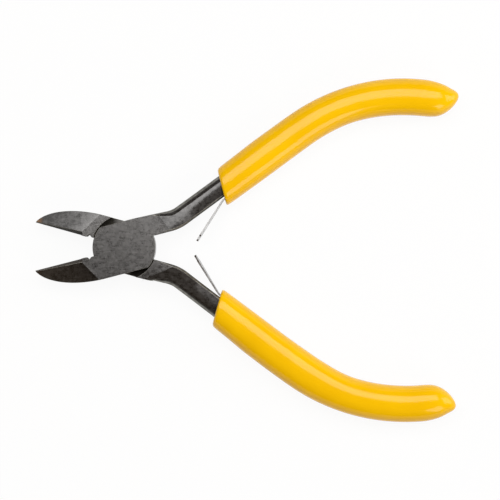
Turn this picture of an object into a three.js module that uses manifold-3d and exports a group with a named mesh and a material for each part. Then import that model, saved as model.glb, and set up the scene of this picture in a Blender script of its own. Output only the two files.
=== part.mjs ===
import * as THREE from "three";
import { mergeVertices } from "three/addons/utils/BufferGeometryUtils.js";
import Module from "manifold-3d";

const wasm = await Module();
wasm.setup();

// Side cutters with a lap joint. Sizes are in millimetres and degrees.
// Each lever is drawn closed about the pivot, its jaw towards -X and below the cutting line,
// its arm towards +X and above it, with Z = 0 midway through the joint.
// The rear lever is the mirror image. The two are then opened about the pivot.

// Opening of each lever from the closed position
const openHalfAngle = 15;

// Lap joint
const headThickness = 7;
const lapRadius = 8;
const headHalfWidth = 6.45;
const lapGap = 0.1;
const shoulderGap = 0.15;

// Pivot rivet, flush on both faces
const rivetRadius = 2.5;
const rivetHeadRadius = 3.4;
const rivetHeadDepth = 1;
const pivotFit = 0.06;

// Jaw
const jawReach = 23.4;
const jawTipThickness = 2.1;
const jawBackPull = 9.24;
const jawBackDepth = 6;
const jawNosePull = 1;
const jawNoseDepth = 2.64;
const jawFacetLead = 3.7;
const jawFacetSkew = 25;
const reliefLength = 2;
const reliefDepth = 0.6;
const reliefRun = 0.6;
const reliefStep = 0.24;
const edgeGap = 0.05;
const edgeHeight = 0.4;
const edgeRunOut = 0.3;
const frontBevel = 70;
const backBevel = 55;

// Arm
const armWidth = 5.36;
const armEndWidth = 5;
const armHeight = 4.8;
const neckOffset = 3.55;
const neckBend = 14.5;
const neckBendRadius = 9;
const armAngle = 21.8;
const armStraight = 37.7;
const handleRadius = 46;
const handleSweep = 52;
const rampLead = 3.7;
const rampLength = 6.3;
const armPower = 3;
const neckSink = 0.1;
const stubLength = 7;

// Dipped grip
const upperGripMouth = 28.15;
const lowerGripMouth = 27.1;
const gripWall = 2.22;
const gripFit = 0.1;
const gripDome = 6.5;
const gripEndWall = 4.5;
const gripPower = 2.3;
const domePower = 2.4;
const nubRadius = 3;
const nubLength = 2.8;
const nubStandout = 1;
const nubOffset = 1.2;

// Leaf spring
const leafThickness = 0.45;
const leafWidth = 4;
const leafAngle = 21.3;
const leafTipGap = 3.6;
const leafRootLead = 0.9;
const leafSplit = 0.3;
const rootLength = 10;
const springFit = 0.1;

// Spring rivet
const pinRadius = 0.8;
const pinDepth = 3;
const pinHeadRadius = 1.5;
const pinHeadHeight = 0.6;
const pinInset = 5.5;
const pinFit = 0.05;

// Facets and steps of the round forms
const curveSteps = 12;
const lapSides = 96;
const rivetSides = 48;
const pinSides = 20;
const armSides = 20;
const gripSides = 24;
const bendSteps = 4;
const straightSteps = 3;
const handleSteps = 14;
const leastStep = 0.4;
const domeSteps = 7;
const domeTurn = 86;
const nubSides = 16;
const nubRings = 10;
const mergeTolerance = 1e-4;

const radians = THREE.MathUtils.degToRad;
const halfHead = headThickness / 2;
const halfArm = armHeight / 2;
const neckInner = neckOffset - armWidth / 2;
const neckOuter = neckOffset + armWidth / 2;
const shoulderRadius = lapRadius + shoulderGap;
const beyond = 1;
const far = 40;

// Turns a closed geometry into a solid that can be cut and joined.
function solidOf(geometry) {
  const bare = new THREE.BufferGeometry();
  bare.setAttribute("position", geometry.getAttribute("position").clone());
  if (geometry.index) {
    bare.setIndex(geometry.index.clone());
  }
  const merged = mergeVertices(bare, mergeTolerance);
  const corners = [];
  for (let i = 0; i < merged.index.count; i += 3) {
    const [a, b, c] = [0, 1, 2].map((k) => merged.index.getX(i + k));
    if (a !== b && b !== c && c !== a) {
      corners.push(a, b, c);
    }
  }
  const vertProperties = new Float32Array(merged.getAttribute("position").array);
  const triVerts = new Uint32Array(corners);
  return new wasm.Manifold(new wasm.Mesh({ numProp: 3, vertProperties, triVerts }));
}

// Turns a solid back into a geometry.
function geometryOf(solid) {
  const mesh = solid.getMesh();
  const geometry = new THREE.BufferGeometry();
  geometry.setAttribute("position", new THREE.BufferAttribute(new Float32Array(mesh.vertProperties), 3));
  geometry.setIndex(new THREE.BufferAttribute(new Uint32Array(mesh.triVerts), 1));
  geometry.computeVertexNormals();
  return geometry;
}

// A cylinder along Z between two heights.
function post(radius, low, high, sides) {
  const geometry = new THREE.CylinderGeometry(radius, radius, high - low, sides);
  geometry.rotateX(Math.PI / 2);
  geometry.translate(0, 0, (low + high) / 2);
  return geometry;
}

// A large block that fills the space on the outer side of a plane.
function beyondPlane(point, normal) {
  const geometry = new THREE.BoxGeometry(4 * far, 4 * far, far);
  geometry.translate(0, 0, far / 2);
  const up = new THREE.Vector3(0, 0, 1);
  geometry.applyQuaternion(new THREE.Quaternion().setFromUnitVectors(up, normal));
  geometry.translate(point.x, point.y, point.z);
  return solidOf(geometry);
}

// Takes equal sloping facets off the top and bottom of a plate, from a line on its faces.
function slopeFaces(plate, point, direction, slope) {
  let result = plate;
  for (const face of [1, -1]) {
    const start = new THREE.Vector3(point.x, point.y, face * halfHead);
    const normal = new THREE.Vector3(direction.x, direction.y, 0).multiplyScalar(Math.sin(slope));
    normal.z = face * Math.cos(slope);
    result = result.subtract(beyondPlane(start, normal));
  }
  return result;
}

// The middle line of the arm, from the joint to the end of the grip.
const bend = radians(armAngle);
const bendTangent = neckBendRadius * Math.tan(bend / 2);
const along = new THREE.Vector2(Math.cos(bend), Math.sin(bend));
const straightEnd = new THREE.Vector2(neckBend, neckOffset).addScaledVector(along, armStraight);
const inward = new THREE.Vector2(along.y, -along.x);
const handleCentre = straightEnd.clone().addScaledVector(inward, handleRadius);
const neckEnd = neckBend - bendTangent;
const quarter = Math.PI / 2;
const spine = new THREE.Path();
spine.moveTo(shoulderRadius, neckOffset);
spine.lineTo(neckEnd, neckOffset);
spine.absarc(neckEnd, neckOffset + neckBendRadius, neckBendRadius, -quarter, bend - quarter, false);
spine.lineTo(straightEnd.x, straightEnd.y);
spine.absarc(
  handleCentre.x, handleCentre.y, handleRadius, bend + quarter, bend + quarter - radians(handleSweep), true,
);
const spineLength = spine.getLength();
const handleStart = spineLength - handleRadius * radians(handleSweep);
const bendEnd = handleStart - armStraight + bendTangent;
const armEnd = spineLength - gripEndWall;
const domeStart = spineLength - gripDome;

// Frame on the middle line: X along it, Y to the outer side, Z up, moved outwards by an offset.
function onArm(distance, offset = 0) {
  const share = Math.min(distance / spineLength, 1);
  const tangent = spine.getTangentAt(share);
  const outward = new THREE.Vector2(-tangent.y, tangent.x);
  const centre = spine.getPointAt(share).addScaledVector(outward, offset);
  const frame = new THREE.Matrix4();
  frame.makeBasis(
    new THREE.Vector3(tangent.x, tangent.y, 0),
    new THREE.Vector3(outward.x, outward.y, 0),
    new THREE.Vector3(0, 0, 1),
  );
  return frame.setPosition(centre.x, centre.y, 0);
}

// Distance along the straight arm at which a line parallel to it crosses a given X.
function distanceAtX(x, offset) {
  return bendEnd - bendTangent + (x - neckBend + offset * along.y) / along.x;
}

// Width of the arm, slightly under the neck's where it is buried in the neck.
function armHalfWidth(distance) {
  if (distance < bendEnd) {
    return armWidth / 2 - neckSink * (1 - distance / bendEnd);
  }
  const share = (distance - bendEnd) / (spineLength - bendEnd);
  return THREE.MathUtils.lerp(armWidth, armEndWidth, share) / 2;
}

// Skins rounded sections set along the middle line.
function loft(stations, sides, power) {
  const positions = [];
  const index = [];
  const point = new THREE.Vector3();
  const shape = (value) => Math.sign(value) * Math.abs(value) ** (2 / power);
  for (const { distance, halfWidth, halfHeight } of stations) {
    const frame = onArm(distance);
    for (let k = 0; k < sides; k += 1) {
      const angle = (2 * Math.PI * k) / sides;
      point.set(0, halfWidth * shape(Math.cos(angle)), halfHeight * shape(Math.sin(angle)));
      positions.push(...point.applyMatrix4(frame).toArray());
    }
  }
  for (const end of [stations[0], stations.at(-1)]) {
    positions.push(...point.set(0, 0, 0).applyMatrix4(onArm(end.distance)).toArray());
  }
  const last = (stations.length - 1) * sides;
  const centres = stations.length * sides;
  for (let k = 0; k < sides; k += 1) {
    const next = (k + 1) % sides;
    for (let ring = 0; ring < last; ring += sides) {
      index.push(ring + k, ring + next, ring + sides + next);
      index.push(ring + k, ring + sides + next, ring + sides + k);
    }
    index.push(centres, next, k);
    index.push(centres + 1, last + k, last + next);
  }
  const geometry = new THREE.BufferGeometry();
  geometry.setAttribute("position", new THREE.Float32BufferAttribute(positions, 3));
  geometry.setIndex(index);
  return geometry;
}

// Distances for a loft: few on the straight, closer round the two bends.
function armDistances(from, to) {
  const spread = [];
  for (let k = 0; k <= bendSteps; k += 1) {
    spread.push((bendEnd * k) / bendSteps);
  }
  for (let k = 1; k <= straightSteps; k += 1) {
    spread.push(bendEnd + ((handleStart - bendEnd) * k) / straightSteps);
  }
  for (let k = 1; k <= handleSteps; k += 1) {
    spread.push(handleStart + ((spineLength - handleStart) * k) / handleSteps);
  }
  const inside = spread.filter((distance) => distance > from + leastStep && distance < to - leastStep);
  return [from, ...inside, to];
}

// The steel arm. Extra thickens it all round, for the hollow of its sleeve.
function armSolid(from, extra) {
  const stations = armDistances(from, armEnd + extra).map((distance) => ({
    distance,
    halfWidth: armHalfWidth(distance) + extra,
    halfHeight: halfArm + extra,
  }));
  return solidOf(loft(stations, armSides, armPower));
}

// Outline of jaw, joint disc and neck, as a plate of the head's thickness.
function headPlate() {
  const flat = Math.asin(headHalfWidth / lapRadius);
  const flatEnd = lapRadius * Math.cos(flat);
  const stub = new THREE.Vector2(neckBend, neckOffset).addScaledVector(along, stubLength);
  const outline = new THREE.Shape();
  outline.moveTo(-jawReach, 0);
  outline.lineTo(-lapRadius - reliefLength, 0);
  outline.lineTo(-lapRadius - reliefLength + reliefRun, -reliefDepth);
  outline.lineTo(-lapRadius - reliefRun, -reliefStep);
  outline.absarc(0, 0, lapRadius, Math.PI + Math.asin(reliefStep / lapRadius), Math.PI - flat, true);
  outline.lineTo(flatEnd, headHalfWidth);
  outline.lineTo(neckEnd, neckOuter);
  outline.lineTo(stub.x, stub.y);
  outline.lineTo(neckEnd, neckInner);
  outline.absarc(0, 0, lapRadius, Math.asin(neckInner / lapRadius), -flat, true);
  outline.lineTo(-lapRadius, -headHalfWidth);
  outline.bezierCurveTo(
    -lapRadius - jawBackPull, -jawBackDepth,
    -jawReach + jawNosePull, -jawNoseDepth,
    -jawReach, 0,
  );
  const geometry = new THREE.ExtrudeGeometry(outline, {
    depth: headThickness,
    bevelEnabled: false,
    curveSegments: curveSteps,
  });
  geometry.translate(0, 0, -halfHead);
  return solidOf(geometry);
}

// What is ground away beside the cutting edge, from both faces down to the edge.
function edgeGrind() {
  const rise = headThickness;
  const front = rise / Math.tan(radians(frontBevel));
  const back = rise / Math.tan(radians(backBevel));
  const section = new THREE.Shape();
  section.moveTo(beyond, edgeHeight + rise);
  section.lineTo(-edgeGap - front, edgeHeight + rise);
  section.lineTo(-edgeGap, edgeHeight);
  section.lineTo(-edgeGap - back, edgeHeight - rise);
  section.lineTo(beyond, edgeHeight - rise);
  const length = jawReach - lapRadius - reliefLength + edgeRunOut;
  const geometry = new THREE.ExtrudeGeometry(section, { depth: length + beyond, bevelEnabled: false });
  geometry.applyMatrix4(
    new THREE.Matrix4().makeBasis(
      new THREE.Vector3(0, 1, 0),
      new THREE.Vector3(0, 0, 1),
      new THREE.Vector3(1, 0, 0),
    ),
  );
  geometry.translate(-jawReach - beyond, 0, 0);
  return solidOf(geometry);
}

// The pivot rivet, or with extra the countersunk hole for it, run out past both faces.
function rivetBody(extra, runOut) {
  const flare = ((rivetHeadRadius - rivetRadius) / rivetHeadDepth) * runOut;
  const end = halfHead + runOut;
  const neck = halfHead - rivetHeadDepth;
  const profile = [
    [0, -end],
    [rivetHeadRadius + flare + extra, -end],
    [rivetRadius + extra, -neck],
    [rivetRadius + extra, neck],
    [rivetHeadRadius + flare + extra, end],
    [0, end],
  ].map(([radius, height]) => new THREE.Vector2(radius, height));
  const geometry = new THREE.LatheGeometry(profile, rivetSides);
  geometry.rotateX(Math.PI / 2);
  return geometry;
}

// Offsets of the spring, which lies on the inner side of the arm, and of its rivet's head.
const springOffset = -(armWidth / 2 + springFit + leafThickness / 2);
const pinTop = springOffset - leafThickness / 2;
const pocketFit = 2 * springFit;

// Distance at which the free leaf of a spring starts, just outside its grip's mouth.
function leafStart(mouth) {
  return distanceAtX(mouth, springOffset) - leafRootLead;
}

// A box on the arm's inner side, from one distance to another.
function springBox(from, to, thickness, width) {
  const geometry = new THREE.BoxGeometry(to - from, thickness, width);
  return geometry.applyMatrix4(onArm((from + to) / 2, springOffset));
}

// A cylinder through the spring into the arm, between two offsets from the middle line.
function pinPost(mouth, radius, low, high) {
  const geometry = new THREE.CylinderGeometry(radius, radius, high - low, pinSides);
  geometry.translate(0, (low + high) / 2, 0);
  return solidOf(geometry.applyMatrix4(onArm(leafStart(mouth) + pinInset)));
}

// One lever. Side 1 keeps the upper half of the lap, side -1 the lower half.
function leverSolid(side, mouth) {
  const skew = radians(jawFacetSkew);
  const facetPoint = new THREE.Vector2(-lapRadius - jawFacetLead, 0);
  const facetDirection = new THREE.Vector2(-Math.cos(skew), -Math.sin(skew));
  const facetRun = new THREE.Vector2(-jawReach, 0).sub(facetPoint).dot(facetDirection);
  const facetSlope = Math.atan2(halfHead - jawTipThickness / 2, facetRun);
  const rampPoint = new THREE.Vector2(lapRadius + rampLead, neckInner);
  const rampTop = new THREE.Vector2(Math.sqrt(lapRadius ** 2 - headHalfWidth ** 2), headHalfWidth);
  const rampLine = rampTop.sub(rampPoint).normalize();
  const rampDirection = new THREE.Vector2(rampLine.y, -rampLine.x);
  const rampSlope = Math.atan2(halfHead - halfArm, rampLength);

  let plate = slopeFaces(headPlate(), facetPoint, facetDirection, facetSlope);
  plate = slopeFaces(plate, rampPoint, rampDirection, rampSlope);
  plate = plate.subtract(edgeGrind());
  const lapFace = (side * lapGap) / 2;
  const lapEnd = -side * (halfHead + beyond);
  const pocket = post(shoulderRadius, Math.min(lapFace, lapEnd), Math.max(lapFace, lapEnd), lapSides);
  return plate
    .add(armSolid(0, 0))
    .subtract(solidOf(pocket))
    .subtract(solidOf(rivetBody(pivotFit, beyond)))
    .subtract(pinPost(mouth, pinRadius + pinFit, -armWidth / 2 - beyond, -armWidth / 2 + pinDepth + pinFit));
}

// The grip: a rounded sleeve cut square to the closed tool at its mouth, with a nub at its end.
function gripSolid(mouth) {
  const start = distanceAtX(mouth, -armWidth / 2 - gripWall) - beyond;
  const stations = armDistances(start, domeStart).map((distance) => ({
    distance,
    halfWidth: armHalfWidth(distance) + gripWall,
    halfHeight: halfArm + gripWall,
  }));
  for (let k = 1; k <= domeSteps; k += 1) {
    const share = Math.sin((k / domeSteps) * radians(domeTurn));
    const shrink = (1 - share ** domePower) ** (1 / domePower);
    const distance = domeStart + gripDome * share;
    stations.push({
      distance,
      halfWidth: (armHalfWidth(distance) + gripWall) * shrink,
      halfHeight: (halfArm + gripWall) * shrink,
    });
  }
  const nub = new THREE.SphereGeometry(1, nubSides, nubRings);
  nub.scale(nubLength, nubRadius, nubRadius);
  nub.translate(nubStandout - nubLength, 0, 0);
  nub.applyMatrix4(onArm(spineLength, nubOffset));
  const leaf = leafStart(mouth);
  const pocketWidth = leafWidth + pocketFit;
  const pocketThickness = leafThickness + 2 * pocketFit;
  const rootPocket = springBox(leaf - beyond, leaf + rootLength + springFit, pocketThickness, pocketWidth);
  const headPocket = pinTop - pinHeadHeight - pocketFit;
  return solidOf(loft(stations, gripSides, gripPower))
    .add(solidOf(nub))
    .subtract(beyondPlane(new THREE.Vector3(mouth, 0, 0), new THREE.Vector3(-1, 0, 0)))
    .subtract(armSolid(start - beyond, gripFit))
    .subtract(solidOf(rootPocket))
    .subtract(pinPost(mouth, pinHeadRadius + springFit, headPocket, springOffset));
}

// The clamped end of the leaf spring, with the hole for its rivet.
function springRoot(mouth) {
  const leaf = leafStart(mouth);
  const strip = springBox(leaf + leafSplit / 2, leaf + rootLength, leafThickness, leafWidth);
  return solidOf(strip).subtract(pinPost(mouth, pinRadius + pinFit, pinTop - beyond, 0));
}

// The free leaf, bent away from the arm, long enough to leave the gap between the two tips.
function springLeaf(mouth) {
  const root = new THREE.Vector3().applyMatrix4(onArm(leafStart(mouth), springOffset));
  const direction = bend + Math.PI + radians(leafAngle);
  const opened = root.clone().applyAxisAngle(new THREE.Vector3(0, 0, 1), radians(openHalfAngle));
  const length = (opened.y - leafTipGap / 2) / -Math.sin(direction + radians(openHalfAngle));
  const geometry = new THREE.BoxGeometry(length - leafSplit / 2, leafThickness, leafWidth);
  geometry.translate((length + leafSplit / 2) / 2, 0, 0);
  geometry.rotateZ(direction);
  return geometry.translate(root.x, root.y, 0);
}

// The rivet that holds the spring root on the arm.
function springRivet(mouth) {
  const under = pinTop - springFit;
  const head = pinPost(mouth, pinHeadRadius, under - pinHeadHeight, under);
  const shank = pinPost(mouth, pinRadius, under - pinHeadHeight / 2, -armWidth / 2 + pinDepth);
  return head.add(shank);
}

function piece(name, geometry, color, roughness, metalness) {
  const material = new THREE.MeshStandardMaterial({ color, roughness, metalness, flatShading: true });
  const mesh = new THREE.Mesh(geometry, material);
  mesh.name = name;
  return mesh;
}

const oxideSteel = [0x5a5957, 0.42, 0.9];
const springSteel = [0xc9c9c6, 0.28, 1];
const vinyl = [0xf5b90a, 0.3, 0];

// Everything carried by one lever, in the closed position.
function leverGroup(leverName, side, prefix, mouth) {
  const group = new THREE.Group();
  group.name = `${leverName}_parts`;
  group.add(
    piece(leverName, geometryOf(leverSolid(side, mouth)), ...oxideSteel),
    piece(`${prefix}_grip`, geometryOf(gripSolid(mouth)), ...vinyl),
    piece(`${prefix}_spring_root`, geometryOf(springRoot(mouth)), ...springSteel),
    piece(`${prefix}_spring_leaf`, springLeaf(mouth), ...springSteel),
    piece(`${prefix}_spring_rivet`, geometryOf(springRivet(mouth)), ...springSteel),
  );
  return group;
}

const front = leverGroup("front_lever", 1, "upper", upperGripMouth);
front.rotation.z = radians(openHalfAngle);

const rear = leverGroup("rear_lever", -1, "lower", lowerGripMouth);
rear.scale.y = -1;
rear.rotation.z = -radians(openHalfAngle);

const tool = new THREE.Group();
tool.name = "tool";
tool.add(front, rear, piece("pivot_rivet", rivetBody(0, 0), ...oxideSteel));
tool.position.z = halfHead;

const cutters = new THREE.Group();
cutters.name = "side_cutters";
cutters.add(tool);

export default cutters;
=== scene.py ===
"""Small side cutters: two black levers on a flush rivet, dipped yellow grips and a pair of leaf springs.

Each piece is drawn in millimetres with its lever in the closed position: the pivot at the origin, the
cutting line along -X, the jaw below that line and the arm above it. It is then turned open, mirrored for
the rear lever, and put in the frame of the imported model, in metres.
"""

import logging
import math
from contextlib import contextmanager
from dataclasses import dataclass, field
from enum import Enum
from typing import Iterator, Sequence

import bmesh
import bpy
from mathutils import Matrix, Vector


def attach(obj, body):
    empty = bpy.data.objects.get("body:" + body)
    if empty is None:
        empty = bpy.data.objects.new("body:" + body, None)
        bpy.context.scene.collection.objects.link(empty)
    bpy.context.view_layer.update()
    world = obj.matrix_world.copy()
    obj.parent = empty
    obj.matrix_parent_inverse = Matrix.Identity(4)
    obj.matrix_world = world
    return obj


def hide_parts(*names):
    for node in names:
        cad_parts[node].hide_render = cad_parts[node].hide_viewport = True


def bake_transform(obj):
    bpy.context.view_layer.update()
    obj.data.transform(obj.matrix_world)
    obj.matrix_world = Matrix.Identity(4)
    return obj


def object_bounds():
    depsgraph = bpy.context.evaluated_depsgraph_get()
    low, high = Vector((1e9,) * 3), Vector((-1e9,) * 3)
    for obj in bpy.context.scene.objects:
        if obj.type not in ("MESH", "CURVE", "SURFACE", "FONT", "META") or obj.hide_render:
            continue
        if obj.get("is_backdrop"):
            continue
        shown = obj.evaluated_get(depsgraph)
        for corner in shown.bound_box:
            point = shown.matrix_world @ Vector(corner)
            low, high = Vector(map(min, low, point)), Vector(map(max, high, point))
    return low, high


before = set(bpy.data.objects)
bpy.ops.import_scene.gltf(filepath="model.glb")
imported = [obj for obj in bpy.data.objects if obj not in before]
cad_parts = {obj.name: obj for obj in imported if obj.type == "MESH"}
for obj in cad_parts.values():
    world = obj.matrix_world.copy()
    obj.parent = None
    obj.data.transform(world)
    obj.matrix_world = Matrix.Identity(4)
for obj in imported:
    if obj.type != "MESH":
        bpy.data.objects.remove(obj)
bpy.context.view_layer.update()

log = logging.getLogger("side_cutters")

MM = 0.001
FLAT = Vector((0.0, 0.0, 1.0))

Point = tuple[float, float]
Ring = list[Vector]
Colour = tuple[float, float, float]


class Side(Enum):
    """The lever that a piece belongs to, by the name of its body in the frame."""

    FRONT = "front"
    REAR = "rear"

    @property
    def hand(self) -> float:
        """1 for the front lever, -1 for the rear one, which is its mirror image."""
        return 1.0 if self is Side.FRONT else -1.0

    @property
    def prefix(self) -> str:
        """The word that the lever's grip and spring are named with."""
        return "upper" if self is Side.FRONT else "lower"


class Join(Enum):
    """How one solid is combined with another."""

    ADD = "UNION"
    CUT = "DIFFERENCE"


class Finish(Enum):
    """The finishes of a lever, by their material slots."""

    OXIDE = 0
    # The milled slot paints shade on the recess and the shaded bevels; the ground slot paints light on the lit bevels.
    MILLED_PAINTED_SHADE = 1
    WORN = 2
    GROUND_PAINTED_LIGHT = 3


@dataclass(frozen=True)
class Stance:
    """How the levers stand in the frame."""

    open_half_angle: float = 15.0
    middle_height: float = 3.5

    def matrix(self, side: Side) -> Matrix:
        """Gives the way from a lever's closed position to the frame.

        Args:
            side: the lever.

        Returns:
            A matrix from millimetres, closed, to metres in the frame at rest.
        """
        turn = Matrix.Rotation(math.radians(side.hand * self.open_half_angle), 4, "Z")
        flip = Matrix.Diagonal((1.0, side.hand, 1.0, 1.0))
        lift = Matrix.Translation((0.0, 0.0, self.middle_height))
        return Matrix.Scale(MM, 4) @ lift @ turn @ flip


STANCE = Stance()


def pick(piece: bpy.types.Object) -> None:
    """Makes one object the only selected and the active one.

    Args:
        piece: the object.
    """
    bpy.ops.object.select_all(action="DESELECT")
    piece.select_set(True)
    bpy.context.view_layer.objects.active = piece


@contextmanager
def editing(piece: bpy.types.Object) -> Iterator[None]:
    """Opens a piece in edit mode with all of it selected, and closes it again.

    Args:
        piece: the mesh object.
    """
    pick(piece)
    bpy.ops.object.mode_set(mode="EDIT")
    bpy.ops.mesh.select_all(action="SELECT")
    yield
    bpy.ops.object.mode_set(mode="OBJECT")


def face_out(piece: bpy.types.Object) -> None:
    """Turns all faces of a closed piece outwards.

    Args:
        piece: the mesh object.
    """
    with editing(piece):
        bpy.ops.mesh.normals_make_consistent(inside=False)


def move_ring(piece: bpy.types.Object, ring: Ring) -> None:
    """Puts the selected ring of vertices of a piece in edit mode on given points.

    Args:
        piece: the mesh object in edit mode.
        ring: the points, in the order in which the ring was made.
    """
    mesh = bmesh.from_edit_mesh(piece.data)
    mesh.verts.index_update()
    chosen = sorted((vertex for vertex in mesh.verts if vertex.select), key=lambda vertex: vertex.index)
    for vertex, point in zip(chosen, ring, strict=True):
        vertex.co = point
    bmesh.update_edit_mesh(piece.data)


def loft(name: str, rings: Sequence[Ring]) -> bpy.types.Object:
    """Draws a closed skin by extruding a filled circle from ring to ring.

    Args:
        name: the name of the new piece.
        rings: rings of equally many points.

    Returns:
        The piece, closed at its first and last ring.
    """
    bpy.ops.object.select_all(action="DESELECT")
    bpy.ops.mesh.primitive_circle_add(vertices=len(rings[0]), radius=1.0, fill_type="NGON")
    piece = bpy.context.object
    piece.name = name
    with editing(piece):
        move_ring(piece, rings[0])
        for ring in rings[1:]:
            bpy.ops.mesh.extrude_region_move()
            move_ring(piece, ring)
    face_out(piece)
    return piece


@dataclass
class Knot:
    """A corner of an outline, with the handles of the curves that meet there."""

    place: Point
    before: Point | None = None
    after: Point | None = None


class Pen:
    """Draws a closed flat outline of lines, arcs and curves."""

    def __init__(self, x: float, y: float) -> None:
        """Puts the pen down at a point.

        Args:
            x: the point's x.
            y: the point's y.
        """
        self.knots = [Knot((x, y))]

    def line(self, x: float, y: float) -> None:
        """Draws a line to a point.

        Args:
            x: the point's x.
            y: the point's y.
        """
        self.knots.append(Knot((x, y)))

    def close_with_curve(self, first: Point, second: Point) -> None:
        """Draws a curve back to the first point.

        Args:
            first: the handle of the last point.
            second: the handle of the first point.
        """
        self.knots[-1].after = first
        self.knots[0].before = second

    def arc(self, centre: Point, radius: float, start: float, end: float) -> None:
        """Draws a line to the start of an arc, and the arc.

        Args:
            centre: the centre of the arc.
            radius: its radius.
            start: the angle it starts at, in radians.
            end: the angle it ends at; less than start where it runs clockwise.
        """
        parts = max(1, math.ceil(abs(end - start) / (math.pi / 2)))
        step = (end - start) / parts
        reach = radius * 4.0 / 3.0 * math.tan(step / 4.0)
        for index in range(parts + 1):
            angle = start + index * step
            x = centre[0] + radius * math.cos(angle)
            y = centre[1] + radius * math.sin(angle)
            pull = (-reach * math.sin(angle), reach * math.cos(angle))
            knot = Knot((x, y))
            if index > 0:
                knot.before = (x - pull[0], y - pull[1])
            if index < parts:
                knot.after = (x + pull[0], y + pull[1])
            self.knots.append(knot)

    def plate(self, name: str, low: float, high: float, steps: int) -> bpy.types.Object:
        """Turns the outline into a plate.

        Args:
            name: the name of the new piece.
            low: the height of its underside.
            high: the height of its upper side.
            steps: the straight steps of each curve.

        Returns:
            The plate, a closed mesh.
        """
        bpy.ops.object.select_all(action="DESELECT")
        bpy.ops.curve.primitive_bezier_curve_add()
        drawing = bpy.context.object
        drawing.data.dimensions = "2D"
        drawing.data.fill_mode = "NONE"
        drawing.data.resolution_u = steps
        spline = drawing.data.splines[0]
        spline.bezier_points.add(len(self.knots) - len(spline.bezier_points))
        spline.use_cyclic_u = True
        for bend, knot in zip(spline.bezier_points, self.knots):
            bend.handle_left_type = "FREE" if knot.before else "VECTOR"
            bend.handle_right_type = "FREE" if knot.after else "VECTOR"
            bend.co = (*knot.place, 0.0)
        for bend, knot in zip(spline.bezier_points, self.knots):
            if knot.before:
                bend.handle_left = (*knot.before, 0.0)
            if knot.after:
                bend.handle_right = (*knot.after, 0.0)
        bpy.ops.object.convert(target="MESH")
        piece = bpy.context.object
        piece.name = name
        with editing(piece):
            bpy.ops.mesh.remove_doubles(threshold=0.001)
            bpy.ops.mesh.edge_face_add()
            bpy.ops.transform.translate(value=(0.0, 0.0, low))
            bpy.ops.mesh.extrude_region_move(TRANSFORM_OT_translate={"value": (0.0, 0.0, high - low)})
        face_out(piece)
        return piece


def shave(piece: bpy.types.Object, place: Vector, normal: Vector) -> None:
    """Cuts away all of a piece that lies beyond a plane, and closes the cut.

    Args:
        piece: the mesh object.
        place: a point of the plane.
        normal: the direction of what is cut away.
    """
    with editing(piece):
        bpy.ops.mesh.bisect(plane_co=place, plane_no=normal, use_fill=True, clear_outer=True)


def combine(piece: bpy.types.Object, tool: bpy.types.Object, join: Join) -> None:
    """Joins a tool solid to a piece, or cuts it out of the piece, and deletes the tool.

    Args:
        piece: the mesh object that stays.
        tool: the mesh object that is used up.
        join: what is done.
    """
    pick(piece)
    bpy.ops.object.modifier_add(type="BOOLEAN")
    modifier = piece.modifiers[-1]
    modifier.operation = join.value
    modifier.solver = "EXACT"
    modifier.object = tool
    bpy.ops.object.modifier_apply(modifier=modifier.name)
    bpy.data.objects.remove(tool)


def round_edges(
    piece: bpy.types.Object, width: float, steps: int, sharper_than: float, slot: int = -1
) -> None:
    """Rounds the sharp edges of a piece.

    Args:
        piece: the mesh object.
        width: the width of the rounding.
        steps: its segments.
        sharper_than: the least angle of an edge that is rounded, in degrees.
        slot: the material slot of the rounding; -1 for that of the faces beside it.
    """
    pick(piece)
    bpy.ops.object.modifier_add(type="BEVEL")
    modifier = piece.modifiers[-1]
    modifier.width = width
    modifier.segments = steps
    modifier.limit_method = "ANGLE"
    modifier.angle_limit = math.radians(sharper_than)
    modifier.use_clamp_overlap = False
    modifier.miter_outer = "MITER_ARC"
    modifier.material = slot
    bpy.ops.object.modifier_apply(modifier=modifier.name)


def subdivide(piece: bpy.types.Object, levels: int) -> None:
    """Smooths a piece by subdivision.

    Args:
        piece: the mesh object.
        levels: how often its faces are divided.
    """
    pick(piece)
    bpy.ops.object.modifier_add(type="SUBSURF")
    modifier = piece.modifiers[-1]
    modifier.levels = levels
    modifier.render_levels = levels
    bpy.ops.object.modifier_apply(modifier=modifier.name)


def set_in_frame(piece: bpy.types.Object, side: Side) -> None:
    """Puts a piece drawn in the closed position in the frame, with its place in its mesh.

    Args:
        piece: the mesh object.
        side: the lever that it belongs to.
    """
    piece.data.transform(STANCE.matrix(side))
    if side is Side.REAR:
        face_out(piece)


def shade(piece: bpy.types.Object, flat_over: float) -> None:
    """Shades a piece smooth, with edges kept where they are sharp.

    Args:
        piece: the mesh object.
        flat_over: the angle from which an edge stays sharp, in degrees.
    """
    pick(piece)
    bpy.ops.object.shade_smooth_by_angle(angle=math.radians(flat_over))


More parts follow.
